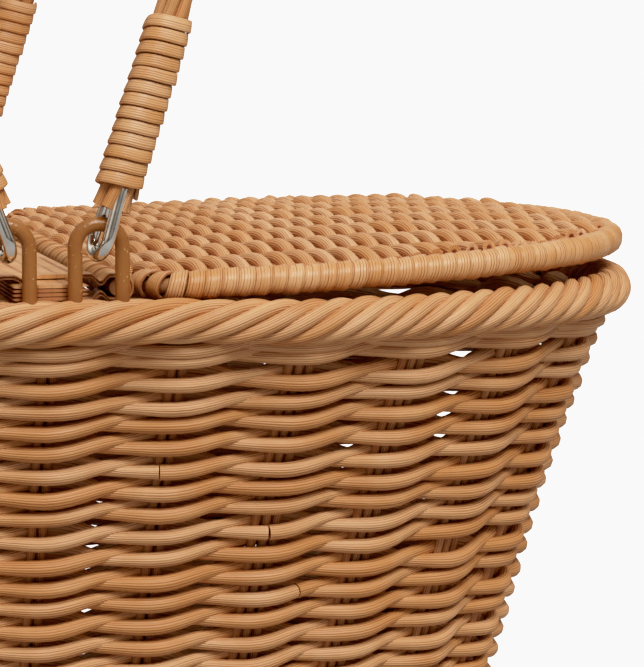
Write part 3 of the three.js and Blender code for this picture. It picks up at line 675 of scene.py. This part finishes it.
hingeStick = {"radius": 2.5 * mm, "half": 119 * mm, "wrapHalf": 111 * mm,
              "wrap": {"Points": 700, "Pitch": 12.0 * mm, "Half Out": 2.95 * mm, "Half Up": 2.95 * mm,
                       "Cane Width": 12.0 * mm, "Cane Thickness": 0.9 * mm, "Wobble": 0.05, "Seed": 77}}


def smoothLine(corners, count):  # a smooth curve through all the corners, evenly spaced
    knots = np.asarray(corners, float)
    padded = np.vstack([2 * knots[0] - knots[1], knots, 2 * knots[-1] - knots[-2]])
    dense = []
    for i in range(len(knots) - 1):
        a, b, c, d = padded[i:i + 4]
        t = np.linspace(0, 1, 24, endpoint=False)[:, None]
        dense.append(0.5 * (2 * b + (c - a) * t + (2 * a - 5 * b + 4 * c - d) * t ** 2
                            + (3 * b - a - 3 * c + d) * t ** 3))
    return evenly(np.vstack(dense + [knots[-1:]]), count)


def evenly(points, count):
    lengths = runLengths(points)
    return pointsAt(np.linspace(0, lengths[-1], count), lengths, points)


def pointsAt(wanted, lengths, points):
    return np.column_stack([np.interp(wanted, lengths, points[:, k]) for k in range(3)])


def lineLength(points):
    return np.linalg.norm(np.diff(points, axis=0), axis=1).sum()


def directions(points):
    tangent = np.gradient(points, axis=0)
    return tangent / np.linalg.norm(tangent, axis=1)[:, None]


def lidFrameLine():
    start = hingeStick["radius"] + lidBorder["cornerGap"]
    corner = [(start + x * mm, lid["cornerPlace"] + y * mm) for x, y in lidBorder["corner"]]
    corner.append((start + lidBorder["bowStart"], lid["halfWidth"] - lidBorder["bowSetback"]))
    turns = np.radians(np.linspace(-lidBorder["bowTurn"], lidBorder["bowTurn"], 60))
    bow = ovalPoints(lid["halfLength"], lid["halfWidth"], turns) - (lid["hingeOffset"], 0)
    flatLine = [(x, -y) for x, y in corner] + bow.tolist() + [(x, y) for x, y in reversed(corner)]
    return smoothLine([(x, y, 0) for x, y in flatLine], lidBorder["points"])


def sideMatrix(side):
    return Matrix.Rotation(math.pi, 4, "Z") if side == "left" else Matrix.Identity(4)


def endName(side, sign):
    if side == "right":
        return "front" if sign < 0 else "back"
    return "back" if sign < 0 else "front"


def lidMatrix(side):
    rise = Matrix.Rotation(math.radians(-lid["rise"]), 4, "Y")
    return sideMatrix(side) @ Matrix.Translation((lid["hingeOffset"], 0, lid["height"])) @ rise


def lidHalfWidthAt(x):
    edge = lidBorder["radius"] - lid["bindingGrip"]
    reach = lid["halfLength"] - edge
    half = lid["halfWidth"] - edge
    power = oval["power"]
    bow = half * max(0.0, 1 - ((x + lid["hingeOffset"]) / reach) ** power) ** (1 / power)
    corner = lid["cornerPlace"] - lid["cornerInset"] + lid["cornerSlope"] * max(0.0, x - lid["cornerEnd"])
    return min(bow, corner)


def lidLift(x, y):
    length = lid["halfLength"] - lid["hingeOffset"]
    share = np.abs(y) / (lid["halfWidth"] * lid["crownReach"])
    return lid["crown"] * (1 - (2 * x / length - 1) ** 2) * np.clip(1 - share ** 2, 0, 1) + lid["seat"]


def makeLid(side):
    matrix = lidMatrix(side)
    body = "lid_" + side
    length = lid["halfLength"] - lid["hingeOffset"] - lid["farEdge"]
    count = int((length - lid["hingeEdge"]) / flat["pitch"])
    columns = [lid["hingeEdge"] + k * (length - lid["hingeEdge"]) / count for k in range(count)]
    piece = flatWeave("lid_weave_" + side + "_reeds", columns, lidHalfWidthAt, lidLift, matrix, lidReed,
                      lid["seed"][side])
    settle(piece, body, "reed", "lid_weave_" + side)

    def reachAt(y):
        xs = np.linspace(0, length, 400)
        inside = [x for x in xs if lidHalfWidthAt(x) > abs(y)]
        return inside[0], inside[-1]

    rows = [k * flat["ribSpacing"] for k in range(-4, 5)]
    piece = flatRibs("lid_ribs_" + side, rows, reachAt, lidLift, matrix)
    settle(piece, body, "stake_reed", "lid_weave_" + side)


def makeLidBorder(side):
    matrix = lidMatrix(side)
    body = "lid_" + side
    line = lidFrameLine()
    up = (0, 0, 1.0)
    across = np.cross(directions(line), up)
    rod = weave("lid_rod_" + side, Guides(matrix).line(line, across, up, 0, 1), "strand", bareRod,
                lidBorder["rod"])
    settle(rod, body, "cane", "lid_frame_" + side)
    keep = slice(lidBorder["bareEnd"], len(line) - lidBorder["bareEnd"])
    wrap = lidBorder["wrap"]
    turns = lineLength(line[keep]) / wrap["Pitch"]
    radius = lidBorder["radius"] - wrap["Cane Thickness"] / 2
    binding = weave("lid_border_" + side, Guides(matrix).line(line[keep], across[keep], up), "band", flatCane,
                    {**wrap, "Points": int(turns * lidBorder["pointsPerTurn"]), "Half Out": radius,
                     "Half Up": radius, "Seed": lid["seed"][side]})
    settle(binding, body, "reed", "lid_binding_" + side)


def makeHingeStick(side):
    body = "lid_" + side

    def straight(half, strandId):
        y = np.linspace(-half, half, 40)
        line = np.column_stack([0 * y, y, 0 * y])
        return Guides(lidMatrix(side)).line(line, (1, 0, 0), (0, 0, 1), 0, strandId)

    rod = weave("hinge_stick_" + side, straight(hingeStick["half"], 1), "strand", bareRod,
                {"Reed Radius": hingeStick["radius"], "Sides": 16})
    settle(rod, body, "cane", "lid_hinge_stick_" + side)
    wrap = weave("hinge_wrap_" + side, straight(hingeStick["wrapHalf"], 0), "band", flatCane,
                 hingeStick["wrap"])
    settle(wrap, body, "reed", "lid_hinge_stick_" + side)


# crossbar and hinge loops
bar = {"height": 202.65 * mm, "halfLength": 127.2 * mm, "strips": 4, "stripPitch": 1.2 * mm,
       "coverHalfLength": 112.7 * mm, "coverHeight": 3.25 * mm,
       "strip": {"Cane Width": 22.4 * mm, "Cane Thickness": 1.0 * mm},
       "cover": {"Cane Width": 25.4 * mm, "Cane Thickness": 1.2 * mm}}
# each layer of a loop is its growth beyond the middle line and how far its waist is drawn in
loop = {"place": 117 * mm, "slot": 7.25 * mm, "seat": 1.2 * mm, "waistPlace": 15.8 * mm,
        "waistReach": 2.9 * mm, "layers": [(-0.4 * mm, 0.72), (0.42 * mm, 0.5)],
        "cane": {"Points": 140, "Cane Width": 8 * mm, "Cane Thickness": 0.75 * mm}}


def makeCrossbar():
    def laidStrips(name, half, heights, material, cane):
        y = np.linspace(-half, half, 60)
        guides = Guides()
        for height in heights:
            guides.line(np.column_stack([0 * y, y, 0 * y + bar["height"] + height]), (0, 0, 1), (1, 0, 0))
        return weave(name, guides, "band", material, cane)

    middle = (bar["strips"] - 1) / 2
    heights = [(k - middle) * bar["stripPitch"] for k in range(bar["strips"])]
    piece = laidStrips("crossbar_strips", bar["halfLength"], heights[:-1], shadedSlatCane, bar["strip"])
    settle(piece, "basket", "cane", "crossbar_core")
    piece = laidStrips("crossbar_top_strip", bar["halfLength"], heights[-1:], flatCane, bar["strip"])
    settle(piece, "basket", "cane", "crossbar_core")
    heights = [bar["coverHeight"], -bar["coverHeight"]]
    piece = laidStrips("crossbar_covers", bar["coverHalfLength"], heights, flatCane, bar["cover"])
    settle(piece, "basket", "reed", "crossbar_binding")


def waisted(x, radius, waist):  # the cane is drawn in between slat and hinge stick
    away = min(1.0, abs(x - loop["waistPlace"]) / loop["waistReach"])
    return radius * (1 - waist * math.cos(math.pi / 2 * away) ** 2)


def loopLine(growth, waist):  # the racetrack round the slat's slot and the hinge stick
    radius = hingeStick["radius"] + loop["seat"] + growth
    left, right = loop["slot"] - growth, lid["hingeOffset"]
    turns = np.linspace(-math.pi / 2, math.pi / 2, 18)
    points = [(right + radius * math.cos(t), radius * math.sin(t)) for t in turns]
    points += [(x, waisted(x, radius, waist)) for x in np.linspace(right, left + radius * 0.6, 22)[1:]]
    points += [(left, z) for z in np.linspace(radius * 0.7, -radius * 0.7, 6)]
    points += [(x, -waisted(x, radius, waist)) for x in np.linspace(left + radius * 0.6, right, 22)[:-1]]
    return np.array(points)


def makeHingeLoops(side):
    for sign in (-1, 1):
        guides = Guides(sideMatrix(side))
        for growth, waist in loop["layers"]:
            shape = loopLine(growth, waist)
            line = np.column_stack([shape[:, 0], np.full(len(shape), sign * loop["place"]),
                                    shape[:, 1] + lid["height"]])
            tangent = np.roll(line, -1, axis=0) - np.roll(line, 1, axis=0)
            tangent /= np.linalg.norm(tangent, axis=1)[:, None]
            normal = np.cross(tangent, (0, -1.0, 0))
            line, normal = np.vstack([line, line[:1]]), np.vstack([normal, normal[:1]])
            guides.line(line, normal, (0, 1, 0))
        name = "hinge_loop_%s_%s" % (side, endName(side, sign))
        piece = weave(name + "_cane", guides, "band", flatCane, loop["cane"])
        settle(piece, "basket", "reed", name)


# staples, rings and handles
staple = {"offset": 13.5 * mm, "wire": 2.15 * mm, "halfSpan": 6.9 * mm, "bendHeight": 215.5 * mm,
          "foot": 190 * mm}
ring = {"wire": 1.9 * mm, "eye": 5.0 * mm, "top": 3.1 * mm, "below": 2.2 * mm, "reach": 20.8 * mm,
        "lean": 18.3, "twist": 12, "butt": 0.5 * mm}
handle = {"lean": 18.3, "height": 167 * mm, "end": 9 * mm, "bendStart": 10 * mm, "power": 2.3, "strands": 6,
          "turns": 3.0, "flare": 0.2, "flareReach": 5 * mm, "raggedness": 3 * mm, "wrapStart": 4.8 * mm,
          "wrapTurns": 13, "pointsPerTurn": 24, "points": 260, "seed": 8,
          "laid": {"Out": 3.4 * mm, "Up": 3.4 * mm, "Reed Radius": 1.8 * mm, "Unevenness": 0.2,
                   "Wobble": 0.8 * mm, "Wobble Scale": 25.0, "Seed": 51},
          "heart": {"Reed Radius": 1.8 * mm, "Wobble": 0.3 * mm, "Wobble Scale": 25.0, "Seed": 52},
          "wrap": {"Pitch": 3.85 * mm, "Half Out": 6.0 * mm, "Half Up": 6.0 * mm, "Squareness": 2.8,
                   "Cane Width": 3.85 * mm, "Cane Thickness": 1.1 * mm, "Tilt": 0.16, "Wobble": 0.1,
                   "Seed": 61}}


def stapleLine():
    foot = staple["foot"] - staple["bendHeight"]
    turns = np.linspace(math.pi, 0, 25)
    points = [(-staple["halfSpan"], 0, z) for z in np.linspace(foot, 0, 9)[:-1]]
    points += [(staple["halfSpan"] * math.cos(t), 0, staple["halfSpan"] * math.sin(t)) for t in turns]
    points += [(staple["halfSpan"], 0, z) for z in np.linspace(0, foot, 9)[1:]]
    return np.array(points)


def ringLine():
    eyeHeight = ring["eye"] - ring["below"]
    topHeight = ring["reach"] - ring["top"]
    tilt = math.asin((ring["eye"] - ring["top"]) / (topHeight - eyeHeight))
    opening = ring["butt"] / 2 / ring["top"]

    def arc(height, radius, start, stop, count):
        turns = np.linspace(start, stop, count)
        return [(0, radius * math.cos(t), height + radius * math.sin(t)) for t in turns]

    points = arc(topHeight, ring["top"], math.pi / 2 - opening, tilt, 8)
    points += arc(eyeHeight, ring["eye"], tilt, -math.pi - tilt, 30)
    points += arc(topHeight, ring["top"], math.pi - tilt, math.pi / 2 + opening, 8)
    return evenly(np.array(points), 70)


def handleLine(count):
    turn = np.linspace(0, math.pi, 600)
    across, up = np.cos(turn), np.maximum(0, np.sin(turn))
    bend = 2 / handle["power"]
    y = -oval["halfWidth"] * np.sign(across) * np.abs(across) ** bend
    z = handle["bendStart"] + (handle["height"] - handle["bendStart"]) * up ** bend
    points = np.column_stack([0 * y, y, z])
    low = np.array([(0, -oval["halfWidth"], -handle["end"])])
    high = np.array([(0, oval["halfWidth"], -handle["end"])])
    return evenly(np.vstack([low, points, high]), count)


def wireTube(name, line, outDir, matrix, radius, material):
    guides = Guides(matrix).line(line, outDir, (0, 0, 1), 0, 1)
    return weave(name, guides, "strand", material, {"Reed Radius": radius, "Sides": 20})


def makeFittings(side):
    half = sideMatrix(side)
    for sign in (-1, 1):
        end = endName(side, sign)
        spot = Matrix.Translation((staple["offset"], sign * oval["halfWidth"], staple["bendHeight"]))
        piece = wireTube("staple_wire_%s_%s" % (side, end), stapleLine(), (0, 1, 0), half @ spot,
                         staple["wire"], coatedWire)
        settle(piece, "basket", "coated_wire", "staple_%s_%s" % (side, end))
        lean = Matrix.Rotation(math.radians(ring["lean"]), 4, "Y")
        twist = Matrix.Rotation(math.radians(ring["twist"]), 4, "Z")
        piece = wireTube("link_%s_%s" % (side, end), ringLine(), (1, 0, 0), half @ spot @ (lean @ twist),
                         ring["wire"], platedWire)
        settle(piece, "rings_" + side, "plated_wire", "ring_%s_%s" % (side, end))


def handleMatrix(side):
    lean = math.radians(ring["lean"])
    pivot = (staple["offset"] + ring["reach"] * math.sin(lean), 0,
             staple["bendHeight"] + ring["reach"] * math.cos(lean))
    tilt = Matrix.Rotation(math.radians(handle["lean"]), 4, "Y")
    return sideMatrix(side) @ Matrix.Translation(pivot) @ tilt


def makeHandle(side):
    matrix = handleMatrix(side)
    body = "handle_" + side
    line = handleLine(handle["points"])
    tangent = directions(line)
    outward = np.array([1.0, 0, 0])
    across = np.cross(tangent, outward)
    share = np.linspace(0, 1, len(line))
    total = lineLength(line)
    fromEnd = np.minimum(share, 1 - share) * total
    spread = (1 + handle["flare"] * np.exp(-fromEnd / handle["flareReach"]))[:, None]
    rng = np.random.default_rng(handle["seed"])
    guides = Guides(matrix)
    for k in range(handle["strands"]):  # cut to uneven lengths and fanned at both ends
        cuts = rng.uniform(0, handle["raggedness"], 2)
        first, last = (int(cut / total * len(line)) for cut in cuts)
        keep = slice(first, len(line) - last)
        turns = handle["turns"] * share[keep] + k / handle["strands"]
        guides.line(line[keep], outward * spread[keep], (across * spread)[keep], turns, k)
    piece = weave("handle_bundle_" + side, guides, "strand", wallReed, handle["laid"])
    settle(piece, body, "reed", "handle_reeds_" + side)
    guides = Guides(matrix).line(line, outward, across, 0, 9)
    piece = weave("handle_heart_" + side, guides, "strand", wallReed, handle["heart"])
    settle(piece, body, "reed", "handle_reeds_" + side)
    pitch = handle["wrap"]["Pitch"]
    wrapLength = handle["wrapTurns"] * pitch
    begin = handle["end"] - handle["wrapStart"] + pitch / 2
    lengths = runLengths(line)
    for sign in (-1, 1):
        wanted = np.linspace(begin, begin + wrapLength, 80)
        if sign > 0:
            wanted = total - wanted
        middle = pointsAt(wanted, lengths, line)
        guides = Guides(matrix).line(middle, outward, -sign * pointsAt(wanted, lengths, across))
        end = endName(side, sign)
        wrap = weave("handle_winding_%s_%s" % (side, end), guides, "band", flatCane,
                     {**handle["wrap"], "Points": handle["wrapTurns"] * handle["pointsPerTurn"]})
        settle(wrap, body, "reed", "handle_wrap_%s_%s" % (side, end))


# stage, light and camera
stage = {"size": 80.0, "floor": 0.98, "paper": 0.7, "bounce": 0.35, "sky": 0.46, "skyLow": 0.25,
         "skyRise": 1.5, "skyTop": 0.7, "panels": 5, "panelLow": 0.35, "panelRise": 1.3, "horizon": 1.6,
         "fill": (1.0, 0.88, 0.76, 1.0), "key": 2.6, "keySpread": 28, "keyDirection": (-0.12, 0.66, -0.74)}
# how the photograph's tones follow the light: dark tones sink, white paper comes out as a light grey
response = [(0.0, 0.0), (0.012, 0.003), (0.03, 0.018), (0.07, 0.053), (0.2, 0.18), (0.45, 0.41),
            (0.75, 0.645), (0.94, 0.735), (1.05, 0.79), (1.3, 0.89), (1.5, 0.948)]


def makeStage():
    mesh = bpy.data.meshes.new("floor")
    size = stage["size"]
    corners = [(-size, -size, 0), (size, -size, 0), (size, size, 0), (-size, size, 0)]
    mesh.from_pydata(corners, [], [(0, 1, 2, 3)])
    floor = newObject("floor", mesh)
    material, bench, shader = newFinish("floor_white", {"Roughness": 0.9})
    seen = bench.add("ShaderNodeLightPath")["Is Camera Ray"]
    plug(bench, shader, "Base Color", bench.grey(stage["bounce"] + seen * (stage["floor"] - stage["bounce"])))
    plug(bench, shader, "Emission Color", bench.grey(seen * stage["paper"]))
    shader.inputs["Emission Strength"].default_value = 1.0
    mesh.materials.append(material)
    world = bpy.data.worlds.new("studio")
    bpy.context.scene.world = world
    world.use_nodes = True
    sky = Bench(world.node_tree)
    back = world.node_tree.nodes["Background"]
    seen = sky.add("ShaderNodeLightPath")["Is Camera Ray"]
    direction = sky.add("ShaderNodeSeparateXYZ", None, {0: sky.add("ShaderNodeTexCoord")["Generated"]})
    bearing = direction["Y"].maths("ARCTAN2", direction["X"])
    panels = ((bearing * stage["panels"]).maths("COSINE") + 1) * 0.5
    climb = stage["skyLow"] + stage["skyRise"] * sky.ramp(direction["Z"], 0.0, stage["skyTop"])
    dome = stage["sky"] * climb * (stage["panelLow"] + stage["panelRise"] * panels)
    plug(sky, back, "Strength", dome + seen * (stage["horizon"] - dome))
    plug(sky, back, "Color", sky.blend(seen, stage["fill"], (1.0, 1.0, 1.0, 1.0)))
    light = bpy.data.lights.new("softbox", "SUN")
    light.energy = stage["key"]
    light.angle = math.radians(stage["keySpread"])
    lamp = newObject("softbox", light)
    lamp.rotation_euler = Vector(stage["keyDirection"]).to_track_quat("-Z", "Y").to_euler()
    view = bpy.context.scene.view_settings
    view.view_transform = "Standard"
    view.look = "None"
    view.use_curve_mapping = True
    view.curve_mapping.extend = "HORIZONTAL"
    brightest = response[-1][0]
    view.curve_mapping.white_level = (brightest, brightest, brightest)
    curve = view.curve_mapping.curves[3]
    for amount, level in response[1:-1]:
        curve.points.new(amount / brightest, level)
    curve.points[-1].location = (1.0, response[-1][1])
    view.curve_mapping.update()


shot = {"azimuth": -14.33, "elevation": 6.43, "distance": 1202.5 * mm,
        "target": (112.66 * mm, 0, 173.91 * mm), "focalPixels": 3663.7, "imageWidth": 644}


def makeCamera():
    azimuth, elevation = math.radians(shot["azimuth"]), math.radians(shot["elevation"])
    back = Vector((math.sin(azimuth) * math.cos(elevation), -math.cos(azimuth) * math.cos(elevation),
                   math.sin(elevation)))
    data = bpy.data.cameras.new("camera")
    data.sensor_fit = "HORIZONTAL"
    data.sensor_width = 36
    data.lens = shot["focalPixels"] * data.sensor_width / shot["imageWidth"]
    data.clip_start = 0.05
    data.clip_end = 300
    camera = newObject("camera", data)
    camera.location = Vector(shot["target"]) + back * shot["distance"]
    camera.rotation_euler = (-back).to_track_quat("-Z", "Y").to_euler()
    bpy.context.scene.camera = camera


makeCamera()
makeStage()
makeWall()
makeStakes()
makeBorders()
makeBase()
makeCrossbar()
for side in ("right", "left"):
    makeLid(side)
    makeLidBorder(side)
    makeHingeStick(side)
    makeHingeLoops(side)
    makeFittings(side)
    makeHandle(side)
print("all pieces made")
